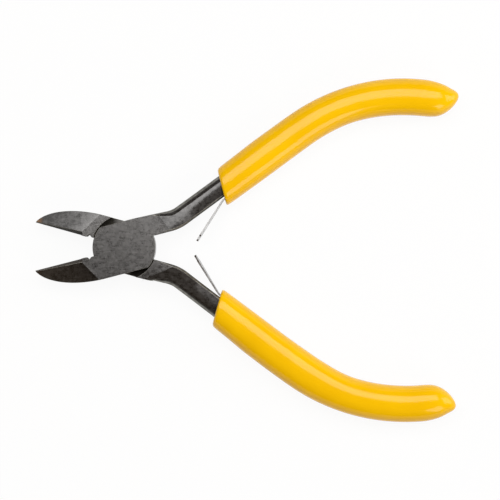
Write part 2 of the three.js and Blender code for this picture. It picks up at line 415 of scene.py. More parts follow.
class Recipe:
    """The node tree of one material, written step by step."""

    def __init__(self, name: str) -> None:
        """Starts a material with its shader.

        Args:
            name: the name of the material.
        """
        self.material = bpy.data.materials.new(name)
        self.material.use_nodes = True
        self.tree = self.material.node_tree
        self.shader = self.tree.nodes["Principled BSDF"]

    def node(self, kind: str, **sockets: object) -> bpy.types.Node:
        """Adds a node and fills its sockets.

        Args:
            kind: the type of the node.
            **sockets: for each input, by its name with _ for a space, a value or the output that feeds it.

        Returns:
            The node.
        """
        node = self.tree.nodes.new(kind)
        for name, value in sockets.items():
            self.feed(node, name.replace("_", " "), value)
        return node

    def feed(self, node: bpy.types.Node, name: str, value: object) -> None:
        """Sets one input of a node.

        Args:
            node: the node.
            name: the name of the input.
            value: a value, or the output that feeds it.
        """
        if isinstance(value, bpy.types.NodeSocket):
            self.tree.links.new(value, node.inputs[name])
        else:
            node.inputs[name].default_value = value

    def place(self, stretch: tuple[float, float, float], turn: float = 0.0) -> bpy.types.NodeSocket:
        """Gives the place on the piece in millimetres.

        Args:
            stretch: how often a pattern repeats along each axis, next to its own scale.
            turn: how far the pattern is turned about the upright axis, in degrees.

        Returns:
            The output of a mapping of the piece's own coordinates.
        """
        source = self.node("ShaderNodeTexCoord")
        mapping = self.node(
            "ShaderNodeMapping",
            Vector=source.outputs["Object"],
            Scale=tuple(share / MM for share in stretch),
            Rotation=(0.0, 0.0, math.radians(turn)),
        )
        return mapping.outputs["Vector"]

    def noise(
        self, place: bpy.types.NodeSocket, scale: float, detail: float = 2.0, roughness: float = 0.5
    ) -> bpy.types.NodeSocket:
        """Adds a cloud pattern.

        Args:
            place: the coordinates.
            scale: the clouds per millimetre.
            detail: the octaves of finer clouds.
            roughness: how strong those are.

        Returns:
            The pattern, about 0.5 in the middle.
        """
        node = self.node("ShaderNodeTexNoise", Vector=place, Scale=scale, Detail=detail, Roughness=roughness)
        return node.outputs["Fac"]

    def span(self, value: bpy.types.NodeSocket, low: Point, high: Point) -> bpy.types.NodeSocket:
        """Maps a value from one range to another, held at the ends.

        Args:
            value: the value.
            low: a value and what it becomes.
            high: another value and what it becomes.

        Returns:
            The mapped value.
        """
        node = self.node("ShaderNodeMapRange", Value=value)
        node.clamp = True
        for name, number in (
            ("From Min", low[0]), ("To Min", low[1]), ("From Max", high[0]), ("To Max", high[1])
        ):
            self.feed(node, name, number)
        return node.outputs["Result"]

    def blend(self, share: bpy.types.NodeSocket, first: object, second: object) -> bpy.types.NodeSocket:
        """Mixes two colours.

        Args:
            share: how much of the second one shows.
            first: a colour, or the output that gives it.
            second: another one.

        Returns:
            The mixed colour.
        """
        node = self.tree.nodes.new("ShaderNodeMix")
        node.data_type = "RGBA"
        colours = [socket for socket in node.inputs if socket.type == "RGBA"]
        for socket, value in zip(colours, (first, second)):
            if isinstance(value, bpy.types.NodeSocket):
                self.tree.links.new(value, socket)
            else:
                socket.default_value = (*value, 1.0)
        self.tree.links.new(share, node.inputs[0])
        return next(socket for socket in node.outputs if socket.type == "RGBA")

    def sum(self, first: bpy.types.NodeSocket, second: bpy.types.NodeSocket, share: float) -> bpy.types.NodeSocket:
        """Adds a share of one pattern to another.

        Args:
            first: the pattern that stays whole.
            second: the pattern that is added.
            share: how much of it.

        Returns:
            The sum.
        """
        node = self.tree.nodes.new("ShaderNodeMath")
        node.operation = "MULTIPLY_ADD"
        self.tree.links.new(second, node.inputs[0])
        node.inputs[1].default_value = share
        self.tree.links.new(first, node.inputs[2])
        return node.outputs["Value"]

    def relief(self, height: bpy.types.NodeSocket, depth: float, strength: float) -> None:
        """Roughens the surface.

        Args:
            height: the pattern of the relief.
            depth: its depth in millimetres.
            strength: how much of it shows.
        """
        bump = self.node("ShaderNodeBump", Height=height, Distance=depth * MM, Strength=strength)
        self.feed(self.shader, "Normal", bump.outputs["Normal"])


@dataclass(frozen=True)
class PaintedLightDrift:
    """A slow change of tone from one place to another, as painted light and shade."""

    start: float
    end: float
    change: float


@dataclass(frozen=True)
class OxideSteelWithPaintedLight:
    """Black oxide over ground, forged steel: dark grey, mottled, brownish at the jaw tips.

    Its tone drifts over the tool as painted light and shade: along x + y from the lower jaw to the upper
    neck, and along y - x from the lower arm to the tip of the upper jaw.
    """

    name: str = "oxide_steel"
    dark: Colour = (0.03, 0.0295, 0.029)
    light: Colour = (0.142, 0.14, 0.139)
    brown: Colour = (0.13, 0.062, 0.022)
    tip_start: float = -20.6
    tip_end: float = -22.6
    start_tone: float = 0.17
    # Painted light and shade, as drifts of tone along x + y and along y - x.
    painted_light_to_neck: tuple[PaintedLightDrift, ...] = (
        PaintedLightDrift(-20.0, -13.0, -0.3),
        PaintedLightDrift(-13.0, 13.0, 0.26),
        PaintedLightDrift(15.4, 16.6, -0.25),
        PaintedLightDrift(17.0, 24.0, 0.13),
    )
    painted_light_to_jaw: tuple[PaintedLightDrift, ...] = (
        PaintedLightDrift(9.5, 13.0, 0.235),
        PaintedLightDrift(13.0, 19.0, -0.38),
        PaintedLightDrift(22.0, 28.0, -0.12),
    )

    def make(self) -> bpy.types.Material:
        """Writes the material.

        Returns:
            The material.
        """
        recipe = Recipe(self.name)
        plain = recipe.place((1.0, 1.0, 1.0))
        lines = recipe.place((0.35, 5.0, 2.0), 68.0)
        mottle = recipe.noise(plain, 1.1, 5.0, 0.66)
        grain = recipe.noise(plain, 7.0, 3.0, 0.6)
        ground = recipe.noise(lines, 1.0, 2.0, 0.55)
        axes = recipe.node("ShaderNodeSeparateXYZ", Vector=plain)
        cloud = recipe.sum(mottle, ground, 0.35)
        # Painted light and shade: the drifts lighten and darken the base colour by place.
        for drifts, sign in ((self.painted_light_to_neck, 1.0), (self.painted_light_to_jaw, -1.0)):
            ahead = recipe.sum(axes.outputs["Y"], axes.outputs["X"], sign)
            for drift in drifts:
                tone = recipe.span(ahead, (drift.start, 0.0), (drift.end, drift.change))
                cloud = recipe.sum(cloud, tone, 1.0)
        low = 0.32 - self.start_tone
        colour = recipe.blend(recipe.span(cloud, (low, 0.0), (low + 0.71, 1.0)), self.dark, self.light)
        tip = recipe.span(axes.outputs["X"], (self.tip_start, 0.0), (self.tip_end, 0.8))
        colour = recipe.blend(tip, colour, self.brown)
        recipe.feed(recipe.shader, "Base Color", colour)
        recipe.feed(recipe.shader, "Metallic", 1.0)
        sheen = recipe.sum(mottle, ground, 0.5)
        recipe.feed(recipe.shader, "Roughness", recipe.span(sheen, (0.45, 0.23), (1.05, 0.36)))
        recipe.relief(recipe.sum(recipe.sum(mottle, grain, 0.45), ground, 0.5), 0.02, 0.5)
        return recipe.material


@dataclass(frozen=True)
class MilledSteelPaintedShade:
    """Dull black oxide in the milled recess and on the ground bevels of the cutting edges, darker than the oxide,
    partly as the milled finish and partly as painted shade.
    """

    name: str = "milled_steel_painted_shade"
    dark: Colour = (0.022, 0.02, 0.016)
    light: Colour = (0.045, 0.042, 0.035)
    # Painted light on the recess floor in a band along x, then painted shadow further along x.
    rubbed_and_painted_light: Colour = (0.15, 0.147, 0.143)
    painted_light_start: float = -3.0
    painted_light_end: float = -1.6
    painted_shadow_start: float = 0.4
    painted_shadow_end: float = 1.6

    def make(self) -> bpy.types.Material:
        """Writes the material.

        Returns:
            The material.
        """
        recipe = Recipe(self.name)
        plain = recipe.place((1.0, 1.0, 1.0))
        mottle = recipe.noise(plain, 1.3, 4.0, 0.6)
        grain = recipe.noise(plain, 6.0, 3.0, 0.6)
        colour = recipe.blend(recipe.span(mottle, (0.3, 0.0), (0.7, 1.0)), self.dark, self.light)
        axes = recipe.node("ShaderNodeSeparateXYZ", Vector=plain)
        # Painted light, then painted shadow, across the recess floor along x.
        rub_and_painted_light = recipe.span(axes.outputs["X"], (self.painted_light_start, 0.0), (self.painted_light_end, 1.0))
        colour = recipe.blend(rub_and_painted_light, colour, self.rubbed_and_painted_light)
        painted_shadow = recipe.span(axes.outputs["X"], (self.painted_shadow_start, 0.0), (self.painted_shadow_end, 1.0))
        colour = recipe.blend(painted_shadow, colour, self.dark)
        recipe.feed(recipe.shader, "Base Color", colour)
        recipe.feed(recipe.shader, "Specular IOR Level", 0.04)
        recipe.feed(recipe.shader, "Roughness", recipe.span(grain, (0.3, 0.5), (0.7, 0.65)))
        recipe.relief(recipe.sum(mottle, grain, 0.4), 0.02, 0.4)
        return recipe.material


@dataclass(frozen=True)
class WornSteel:
    """The thin bright line along an edge where the oxide has rubbed off."""

    name: str = "worn_steel"
    dark: Colour = (0.11, 0.106, 0.092)
    light: Colour = (0.24, 0.232, 0.21)

    def make(self) -> bpy.types.Material:
        """Writes the material.

        Returns:
            The material.
        """
        recipe = Recipe(self.name)
        plain = recipe.place((1.0, 1.0, 1.0))
        rub_and_painted_light = recipe.noise(plain, 0.7, 4.0, 0.7)
        grain = recipe.noise(plain, 8.0, 2.0)
        colour = recipe.blend(recipe.span(rub_and_painted_light, (0.4, 0.0), (0.65, 1.0)), self.dark, self.light)
        recipe.feed(recipe.shader, "Base Color", colour)
        recipe.feed(recipe.shader, "Metallic", 1.0)
        recipe.feed(recipe.shader, "Roughness", recipe.span(grain, (0.3, 0.32), (0.7, 0.42)))
        recipe.relief(grain, 0.01, 0.3)
        return recipe.material


@dataclass(frozen=True)
class SpringSteel:
    """Bright rolled strip, drawn lengthwise."""

    name: str = "spring_steel"
    dark: Colour = (0.28, 0.28, 0.28)
    light: Colour = (0.38, 0.38, 0.38)

    def make(self) -> bpy.types.Material:
        """Writes the material.

        Returns:
            The material.
        """
        recipe = Recipe(self.name)
        plain = recipe.place((1.0, 1.0, 1.0))
        drawn = recipe.place((0.4, 0.4, 14.0))
        streak = recipe.noise(drawn, 1.0, 3.0)
        cloud = recipe.noise(plain, 0.8, 3.0)
        colour = recipe.blend(recipe.span(streak, (0.3, 0.0), (0.7, 1.0)), self.dark, self.light)
        recipe.feed(recipe.shader, "Base Color", colour)
        recipe.feed(recipe.shader, "Metallic", 1.0)
        recipe.feed(recipe.shader, "Roughness", recipe.span(cloud, (0.3, 0.2), (0.7, 0.32)))
        recipe.relief(streak, 0.01, 0.25)
        return recipe.material


@dataclass(frozen=True)
class DippedVinyl:
    """Glossy yellow vinyl from a dip: slightly wavy, with an even, faintly cloudy colour."""

    name: str = "vinyl"
    deep: Colour = (0.89, 0.5, 0.001)
    bright: Colour = (0.94, 0.545, 0.0015)

    def make(self) -> bpy.types.Material:
        """Writes the material.

        Returns:
            The material.
        """
        recipe = Recipe(self.name)
        plain = recipe.place((1.0, 1.0, 1.0))
        cloud = recipe.noise(plain, 0.1, 3.0)
        wave = recipe.noise(plain, 0.16, 1.0)
        peel = recipe.noise(plain, 1.6, 2.0)
        colour = recipe.blend(recipe.span(cloud, (0.3, 0.0), (0.7, 1.0)), self.deep, self.bright)
        recipe.feed(recipe.shader, "Base Color", colour)
        recipe.feed(recipe.shader, "Roughness", recipe.span(peel, (0.3, 0.11), (0.7, 0.15)))
        recipe.feed(recipe.shader, "Specular IOR Level", 0.28)
        recipe.relief(recipe.sum(wave, peel, 0.002), 0.25, 0.25)
        return recipe.material


@dataclass(frozen=True)
class ArmLine:
    """The middle line of an arm: a short neck, a bend, a straight run and the curve of the handle."""

    start: float = 8.15
    offset: float = 3.55
    bend_at: float = 14.5
    bend_radius: float = 9.0
    angle: float = math.radians(21.8)
    straight: float = 37.7
    curve_radius: float = 46.0
    curve_sweep: float = math.radians(52.0)

    @property
    def neck_end(self) -> float:
        """The length of the neck, up to the bend."""
        return self.bend_at - self.bend_radius * math.tan(self.angle / 2) - self.start

    @property
    def bend_end(self) -> float:
        """The length along the line to the end of the bend."""
        return self.neck_end + self.bend_radius * self.angle

    @property
    def curve_start(self) -> float:
        """The length along the line to the start of the handle's curve."""
        return self.bend_end + self.straight - self.bend_radius * math.tan(self.angle / 2)

    @property
    def length(self) -> float:
        """The whole length of the line."""
        return self.curve_start + self.curve_radius * self.curve_sweep

    def heading(self, run: float) -> float:
        """Gives the direction of the line.

        Args:
            run: the length along the line.

        Returns:
            The angle from +X, in radians.
        """
        turned = min(max(run - self.neck_end, 0.0), self.bend_end - self.neck_end) / self.bend_radius
        curved = min(max(run - self.curve_start, 0.0), self.length - self.curve_start) / self.curve_radius
        return turned - curved

    def place(self, run: float, out: float = 0.0, up: float = 0.0) -> Vector:
        """Gives a point beside the line.

        Args:
            run: the length along the line; past its ends it goes straight on.
            out: how far the point lies away from the middle of the tool.
            up: how far it lies above the middle of the joint.

        Returns:
            The point, in the closed position.
        """
        angle = self.heading(run)
        spot = Vector((self.start + min(run, self.neck_end), self.offset, up))
        if run > self.neck_end:
            turned = self.heading(min(run, self.bend_end))
            spot += self.bend_radius * Vector((math.sin(turned), 1.0 - math.cos(turned), 0.0))
        if run > self.bend_end:
            ahead = min(run, self.curve_start) - self.bend_end
            spot += ahead * Vector((math.cos(self.angle), math.sin(self.angle), 0.0))
        if run > self.curve_start:
            spot += self.curve_radius * Vector(
                (math.sin(self.angle) - math.sin(angle), math.cos(angle) - math.cos(self.angle), 0.0)
            )
        if run > self.length:
            spot += (run - self.length) * Vector((math.cos(angle), math.sin(angle), 0.0))
        return spot + out * Vector((-math.sin(angle), math.cos(angle), 0.0))


LINE = ArmLine()


@dataclass
class PivotRivet:
    """The rivet of the joint: countersunk on both sides and ground flush with the head."""

    side: Side = Side.FRONT
    radius: float = 2.5
    head_radius: float = 3.4
    head_depth: float = 1.0
    height: float = 7.0
    sides: int = 72

    def rings(self, fit: float) -> list[Ring]:
        """Gives the rings of the rivet from its underside up.

        Args:
            fit: how much wider it is drawn, for its hole.

        Returns:
            The rings.
        """
        top = self.height / 2 + fit
        neck = top - self.head_depth
        steps = ((-top, self.head_radius), (-neck, self.radius), (neck, self.radius), (top, self.head_radius))
        return [
            [
                Vector((
                    (radius + fit) * math.cos(2 * math.pi * index / self.sides),
                    (radius + fit) * math.sin(2 * math.pi * index / self.sides),
                    height,
                ))
                for index in range(self.sides)
            ]
            for height, radius in steps
        ]

    def hole(self, fit: float) -> bpy.types.Object:
        """Models the solid that its hole is cut with.

        Args:
            fit: the clearance.

        Returns:
            The tool solid.
        """
        return loft("rivet_hole", self.rings(fit))

    def build(self) -> bpy.types.Object:
        """Models the rivet.

        Returns:
            The piece.
        """
        piece = loft("pivot_rivet_turned", self.rings(0.0))
        set_in_frame(piece, self.side)
        shade(piece, 9.0)
        return piece

    def dress(self, piece: bpy.types.Object, finish: bpy.types.Material) -> None:
        """Gives the rivet its finish and its place in the frame.

        Args:
            piece: the rivet.
            finish: its material.
        """
        piece.data.materials.append(finish)
        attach(piece, self.side.value)
        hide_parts("pivot_rivet")


@dataclass
class Lever:
    """One lever: jaw, half of the lapped head, and the arm that the grip is dipped over."""

    side: Side
    rivet: PivotRivet
    finishes: tuple[bpy.types.Material, ...]
    # Which copy of the milled steel the bevels get: the lighter one paints light, the darker one paints shade.
    bevel_painted_light_or_shade: Finish
    steep: Point = (0.15, 0.4)
    rubbed_and_painted_light: float = 0.75
    thickness: float = 7.0
    stock: float = 0.5
    lap_radius: float = 7.93
    shoulder_radius: float = 8.15
    lap_gap: float = 0.1
    half_width: float = 6.45
    reach: float = 23.4
    tip_thickness: float = 2.1
    facet_lead: float = 3.85
    facet_skew: float = math.radians(30.4)
    relief_length: float = 2.0
    relief_run: float = 0.6
    relief_step: float = 0.24
    relief_depth: float = 0.85
    nose_back: Point = (9.24, 6.0)
    nose_front: Point = (1.0, 2.64)
    line_gap: float = 0.03
    edge_gap: float = 0.05
    edge_height: float = 0.4
    front_bevel: float = math.radians(74.0)
    grind_run_out: float = 1.3
    back_bevel: float = math.radians(55.0)
    neck_half: float = 2.6
    neck_taper: float = 0.037
    stub_half: float = 2.1
    stub_end: float = 2.2
    ramp_outer: Point = (6.9, 6.3)
    ramp_inner: Point = (14.2, 0.93)
    ramp_slope: float = math.tan(math.radians(9.9))
    ramp_lead: float = 0.17
    arm_half: float = 2.55
    arm_end_half: float = 2.45
    arm_height: float = 2.4
    ridge_start: float = -2.4
    ridge_end: float = 0.6
    ridge_from: float = 5.0
    ridge_fade: float = 4.6
    crest: float = 0.11
    roof_end: float = 19.0
    valley: float = 0.05
    outer_slope: float = math.tan(math.radians(9.5))
    inner_slope: float = math.tan(math.radians(7.5))
    slim_outer: float = 0.0
    slim_inner: float = 0.1
    band_width: float = 0.62
    band_fall: float = math.tan(math.radians(33.0))
    strip_width: float = 0.58
    strip_fall: float = math.tan(math.radians(58.0))
    strip_start: float = -1.0
    strip_length: float = 6.5
    corner_round: float = 0.12
    inner_bevel: float = 0.38
    arm_start: float = -1.4
    arm_flush: float = -0.4
    sink: float = 0.03
    arm_end: float = 81.256
    edge_round: float = 0.09
    rivet_fit: float = 0.01
    crisp_from: float = 7.0
    clear: float = 4.0

    @property
    def half(self) -> float:
        """Half of the head's thickness."""
        return self.thickness / 2

    def outline(self) -> Pen:
        """Draws the outline of jaw, head and neck.

        Returns:
            The pen that drew it.
        """
        flat = math.asin(self.half_width / self.lap_radius)
        root = -self.lap_radius - self.relief_length
        pen = Pen(-self.reach, -self.line_gap)
        pen.line(root, -self.line_gap)
        pen.line(root + self.relief_run, -self.relief_depth)
        pen.line(-self.lap_radius - self.relief_run, -self.relief_step)
        step = math.asin(self.relief_step / self.lap_radius)
        pen.arc((0.0, 0.0), self.lap_radius, math.pi + step, math.pi - flat)
        pen.line(self.lap_radius * math.cos(flat), self.half_width)
        buried = self.arm_flush + 0.4
        for run, out in (
            (buried, self.outer_wall(buried) - self.sink),
            (buried + self.sink, self.stub_half),
            (self.stub_end, self.stub_half),
            (self.stub_end, -self.stub_half),
        ):
            spot = LINE.place(run, out)
            pen.line(spot.x, spot.y)
        pen.arc((0.0, 0.0), self.lap_radius, math.asin((LINE.offset - self.stub_half) / self.lap_radius), -flat)
        pen.line(-self.lap_radius, -self.half_width)
        pen.close_with_curve(
            (-self.lap_radius - self.nose_back[0], -self.nose_back[1]),
            (-self.reach + self.nose_front[0], -self.nose_front[1]),
        )
        return pen

    def slope_faces(self, piece: bpy.types.Object, place: Vector, along: Vector, slope: float) -> None:
        """Grinds the upper and the under face of the plate to a slope.

        Args:
            piece: the plate.
            place: a point of the line where the slope starts.
            along: the direction in which it falls, level.
            slope: its angle, in radians.
        """
        for up in (1.0, -1.0):
            normal = along.normalized() * math.sin(slope) + FLAT * up * math.cos(slope)
            shave(piece, place + FLAT * up * self.half, normal)

    def outer_wall(self, run: float) -> float:
        """Gives how far the arm's outer wall lies from its middle line.

        Args:
            run: the length along the line.

        Returns:
            The distance; where the arm starts, inside the head, a little less than the head's own.
        """
        if run >= LINE.neck_end:
            return self.half_at(run)
        hidden = self.sink * max(self.arm_flush - run, 0.0) / (self.arm_flush - self.arm_start)
        return self.neck_half + self.neck_taper * (LINE.neck_end - run) - hidden

    def half_at(self, run: float) -> float:
        """Gives half of the arm's width past the neck.

        Args:
            run: the length along the line.

        Returns:
            The half width.
        """
        if run < LINE.bend_end:
            share = max(run - LINE.neck_end, 0.0) / (LINE.bend_end - LINE.neck_end)
            return self.neck_half + (self.arm_half - self.neck_half) * share
        share = (run - LINE.bend_end) / (self.arm_end - LINE.bend_end)
        return self.arm_half + (self.arm_end_half - self.arm_half) * share

    @property
    def ramp_along(self) -> Vector:
        """The level direction in which the ramp of the neck falls."""
        line = Vector((*self.ramp_outer, 0.0)) - Vector((*self.ramp_inner, 0.0))
        return Vector((line.y, -line.x, 0.0)).normalized()

    @staticmethod
    def soft_least(first: float, second: float, blur: float) -> float:
        """Gives the lesser of two heights, rounded off where they are about the same.

        Args:
            first: a height.
            second: another one.
            blur: how far the rounding reaches; below 0 the greater height is given.

        Returns:
            The height.
        """
        return (first + second - math.copysign(math.hypot(first - second, blur), blur)) / 2

    def outer_roof(self, run: float, out: float) -> float:
        """Gives the height of the arm outside its ridge: the ramp of the neck, then the roof's outer side.

        Args:
            run: the length along the arm's middle line.
            out: how far out the point lies.

        Returns:
            The height above the middle of the joint.
        """
        fall = (LINE.place(run, out) - Vector((*self.ramp_outer, 0.0))).dot(self.ramp_along)
        ramp = self.half - fall * self.ramp_slope
        side = self.arm_height - self.outer_slope * (out - self.ridge(run))
        return self.soft_least(ramp, side, -self.valley)

    def ridge(self, run: float) -> float:
        """Gives how far out the ridge of the arm lies: it comes in from the neck's inner edge.

        Args:
            run: the length along the arm's middle line.

        Returns:
            The distance from the middle line.
        """
        fade = 1.0 - math.exp(-max(run - self.ridge_from, 0.0) / self.ridge_fade)
        return self.ridge_start + (self.ridge_end - self.ridge_start) * fade

    def roof(self, run: float, out: float) -> float:
        """Gives the height of the arm at one point.

        Args:
            run: the length along the arm's middle line.
            out: how far out the point lies.

        Returns:
            The height above the middle of the joint.
        """
        ridge = self.ridge(run)
        inside = self.outer_roof(run, ridge) - self.inner_slope * (ridge - out)
        return self.soft_least(self.outer_roof(run, out), inside, self.crest)

    def edge_grind(self) -> bpy.types.Object:
        """Models the solid that grinds the two bevels of the cutting edge.

        Returns:
            The tool solid.
        """
        rise = self.half
        front = rise / math.tan(self.front_bevel)
        back = rise / math.tan(self.back_bevel)
        section = (
            (self.clear, self.edge_height + rise),
            (-self.edge_gap - front, self.edge_height + rise),
            (-self.edge_gap, self.edge_height),
            (-self.edge_gap - back, self.edge_height - rise),
            (self.clear, self.edge_height - rise),
        )
        far = [Vector((-self.reach - self.clear, y, z)) for y, z in section]
        root = -self.lap_radius - self.relief_length
        near = [Vector((root + self.grind_run_out * min(y, 0.0), y, z)) for y, z in section]
        return loft("edge_grind", [far, near])

    def arm_ring(self, run: float) -> Ring:
        """Gives the section of the arm at one place: a low roof with a slanted strip along the outer edge.

        Args:
            run: the length along the arm's middle line.

        Returns:
            The points of the section, from its inner side over the top.
        """
        outer = self.outer_wall(run) - self.slim_outer * min(max(run, 0.0), 1.0)
        inner = self.slim_inner - self.half_at(run)
        grown = min(max((run - self.strip_start) / self.strip_length, 0.02), 1.0)
        strip = outer - self.strip_width * grown
        band = strip - self.band_width * grown
        reach = self.corner_round * grown
        start = inner + self.inner_bevel
        top = [(inner, self.roof(run, start) - self.inner_bevel)]
        for step in range(14):
            out = start + (band - reach - start) * step / 13
            top.append((out, self.roof(run, out)))
        crown = (band, self.roof(run, band))
        shoulder = (strip, crown[1] - self.band_width * grown * self.band_fall)
        foot = (outer, shoulder[1] - self.strip_width * grown * self.strip_fall)
        top += self.rounded(top[-1], crown, shoulder, reach)
        top += self.rounded(top[-1], shoulder, foot, reach)
        top.append(foot)
        section = top + [(out, -up) for out, up in reversed(top)]
        return [LINE.place(run, out, up) for out, up in section]

    @staticmethod
    def rounded(before: Point, corner: Point, after: Point, reach: float) -> list[Point]:
        """Rounds one corner of a section.

        Args:
            before: the point before the corner.
            corner: the corner.
            after: the point after it.
            reach: how far from the corner the rounding starts and ends.

        Returns:
            The points of the rounding.
        """
        middle = Vector(corner)
        first = middle + (Vector(before) - middle).normalized() * reach
        last = middle + (Vector(after) - middle).normalized() * reach
        points = []
        for share in (0.05, 0.35, 0.65, 0.95):
            spot = first * (1 - share) ** 2 + middle * 2 * share * (1 - share) + last * share ** 2
            points.append((spot.x, spot.y))
        return points

    def arm(self) -> bpy.types.Object:
        """Models the arm.

        Returns:
            The arm, to be joined to the plate.
        """
        stages = (
            (self.arm_start, LINE.neck_end, 10),
            (LINE.neck_end, LINE.bend_end, 8),
            (LINE.bend_end, self.roof_end, 14),
            (self.roof_end, LINE.curve_start, 6),
            (LINE.curve_start, self.arm_end, 14),
        )
        runs = [
            first + (last - first) * step / steps
            for first, last, steps in stages
            for step in range(steps)
        ]
        return loft("arm", [self.arm_ring(run) for run in [*runs, self.arm_end]])

    def lap_pocket(self) -> bpy.types.Object:
        """Models the disc that is milled out of the head for the other lever.

        Returns:
            The tool solid.
        """
        depth = self.half + self.clear
        face = self.side.hand * self.lap_gap / 2
        bpy.ops.object.select_all(action="DESELECT")
        bpy.ops.mesh.primitive_cylinder_add(
            vertices=128,
            radius=self.shoulder_radius,
            depth=depth,
            location=(0.0, 0.0, face - self.side.hand * depth / 2),
        )
        return bpy.context.object

    def choose_finishes(self, piece: bpy.types.Object) -> None:
        """Gives the milled recess its painted shade, the bevels of the cutting edge their lighter or darker copy of it
        as painted light or shade, and the arm's rubbed edges their own finish.

        Args:
            piece: the lever, before its edges are rounded.
        """
        for face in piece.data.polygons:
            slope = abs(face.normal.z)
            # The recess gets painted shade, and the cutting-edge bevels the lever's lighter or darker copy as painted
            # light or shade.
            if abs(face.center.z) < self.lap_gap:
                finish = Finish.MILLED_PAINTED_SHADE
            elif face.center.x < -self.lap_radius and self.steep[0] < slope < self.steep[1]:
                finish = self.bevel_painted_light_or_shade
            elif face.center.x > self.lap_radius and slope < self.rubbed_and_painted_light:
                finish = Finish.WORN
            else:
                finish = Finish.OXIDE
            face.material_index = finish.value

    def build(self) -> bpy.types.Object:
        """Models the lever.

        Returns:
            The piece.
        """
        stock = self.half + self.stock
        piece = self.outline().plate(f"{self.side.value}_lever_forged", -stock, stock, 24)
        facet_at = Vector((-self.lap_radius - self.facet_lead, 0.0, 0.0))
        facet_along = Vector((-math.cos(self.facet_skew), -math.sin(self.facet_skew), 0.0))
        facet_run = (Vector((-self.reach, 0.0, 0.0)) - facet_at).dot(facet_along)
        self.slope_faces(
            piece, facet_at, facet_along, math.atan2(self.half - self.tip_thickness / 2, facet_run)
        )
        combine(piece, self.edge_grind(), Join.CUT)
        ramp_at = Vector((*self.ramp_outer, 0.0)) - self.ramp_along * self.ramp_lead
        self.slope_faces(piece, ramp_at, self.ramp_along, math.atan(self.ramp_slope))
        combine(piece, self.arm(), Join.ADD)
        for up in (1.0, -1.0):
            shave(piece, FLAT * up * self.half, FLAT * up)
        combine(piece, self.lap_pocket(), Join.CUT)
        with editing(piece):
            bpy.ops.mesh.remove_doubles(threshold=0.004)
            bpy.ops.mesh.dissolve_limited(angle_limit=math.radians(0.03))
        for finish in self.finishes:
            piece.data.materials.append(finish)
        self.choose_finishes(piece)
        round_edges(piece, self.edge_round, 2, 28.0, Finish.WORN.value)
        combine(piece, self.rivet.hole(self.rivet_fit), Join.CUT)
        set_in_frame(piece, self.side)
        shade(piece, self.crisp_from)
        return piece

    def dress(self, piece: bpy.types.Object, finish: bpy.types.Material) -> None:
        """Gives the lever its main finish and its place in the frame.

        Args:
            piece: the lever.
            finish: its main material.
        """
        piece.data.materials[0] = finish
        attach(piece, self.side.value)
        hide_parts(f"{self.side.value}_lever")


@dataclass(frozen=True)
class GripStation:
    """One place along a grip, with how far the grip reaches outwards and inwards there."""

    run: float
    outer: float
    inner: float


@dataclass(frozen=True)
class EndStation:
    """One section of the rounded end of a grip, by how far it lies past the end of the arm line."""

    past: float
    outer: float
    inner: float


